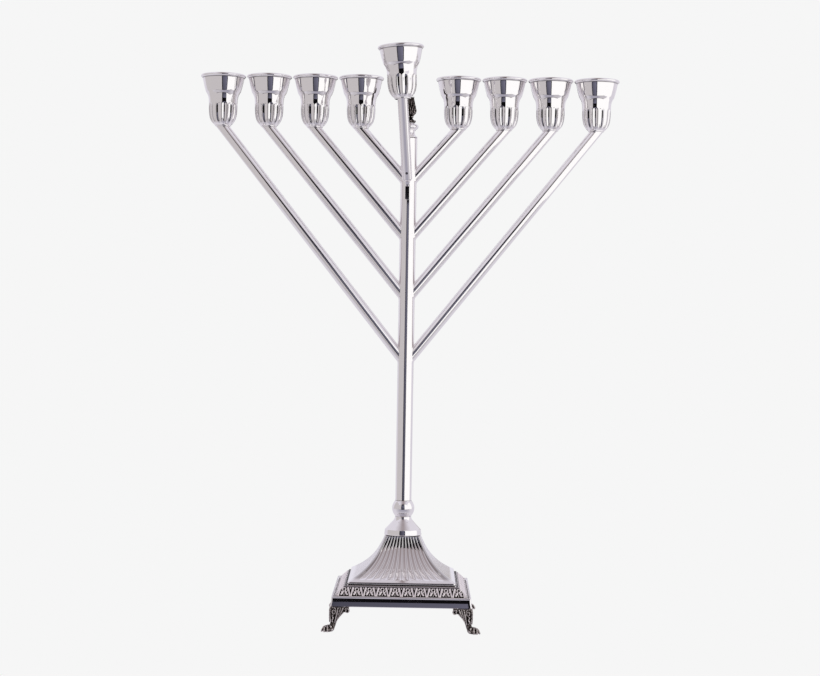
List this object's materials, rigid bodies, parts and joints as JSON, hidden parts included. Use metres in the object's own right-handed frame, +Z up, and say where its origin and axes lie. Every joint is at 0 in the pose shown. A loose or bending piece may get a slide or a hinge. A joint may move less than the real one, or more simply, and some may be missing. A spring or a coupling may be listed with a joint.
{
  "type": "menorah",
  "caption": "Straight-branched Hanukkah lamp with tulip cups, a lift-off servant light, a slim stem and a fluted square base on cast feet.",
  "frame": {"origin": "on the table under the stem axis, at the centre of the base", "axes": "+Z up the stem, +X to the right along the row of cups, -Y to the front, where the servant light stands"},
  "size_m": [0.3224, 0.1192, 0.437],
  "materials": {
    "polished_silver": "mirror-polished silver sheet, tube and castings",
    "oxidised_silver": "cast or stamped silver, dark oxidised in its recesses and polished on its high points",
    "brass_fastener": "turned brass, unpolished"
  },
  "bodies": {
    "lamp": {"base_shell": "polished_silver", "base_ledge": "polished_silver", "base_cap": "polished_silver", "frieze_front": "oxidised_silver", "frieze_right": "oxidised_silver", "frieze_back": "oxidised_silver", "frieze_left": "oxidised_silver", "skirt": "polished_silver", "foot_front_left": "oxidised_silver", "foot_front_right": "oxidised_silver", "foot_back_right": "oxidised_silver", "foot_back_left": "oxidised_silver", "knop": "polished_silver", "stem_tube": "polished_silver", "stem_bottom_bush": "brass_fastener", "stem_top_bush": "brass_fastener", "tie_rod": "brass_fastener", "tie_rod_nut": "brass_fastener", "tie_rod_washer": "brass_fastener", "finial_neck": "polished_silver", "finial_bud": "oxidised_silver", "branch_left_1": "polished_silver", "branch_plug_left_1": "brass_fastener", "cup_left_1": "polished_silver", "cup_screw_left_1": "brass_fastener", "branch_left_2": "polished_silver", "branch_plug_left_2": "brass_fastener", "cup_left_2": "polished_silver", "cup_screw_left_2": "brass_fastener", "branch_left_3": "polished_silver", "branch_plug_left_3": "brass_fastener", "cup_left_3": "polished_silver", "cup_screw_left_3": "brass_fastener", "branch_left_4": "polished_silver", "branch_plug_left_4": "brass_fastener", "cup_left_4": "polished_silver", "cup_screw_left_4": "brass_fastener", "branch_right_1": "polished_silver", "branch_plug_right_1": "brass_fastener", "cup_right_1": "polished_silver", "cup_screw_right_1": "brass_fastener", "branch_right_2": "polished_silver", "branch_plug_right_2": "brass_fastener", "cup_right_2": "polished_silver", "cup_screw_right_2": "brass_fastener", "branch_right_3": "polished_silver", "branch_plug_right_3": "brass_fastener", "cup_right_3": "polished_silver", "cup_screw_right_3": "brass_fastener", "branch_right_4": "polished_silver", "branch_plug_right_4": "brass_fastener", "cup_right_4": "polished_silver", "cup_screw_right_4": "brass_fastener", "shamash_pocket": "polished_silver"},
    "servant_light": {"shamash_cup": "polished_silver", "shamash_screw": "brass_fastener", "shamash_arm": "polished_silver", "shamash_plug": "brass_fastener", "shamash_hook": "polished_silver"}
  },
  "joints": [
    {"name": "servant_lift", "type": "slide", "parent": "lamp", "child": "servant_light", "axis": [0, 0, 1], "range_m": [0, 0.014]}
  ]
}
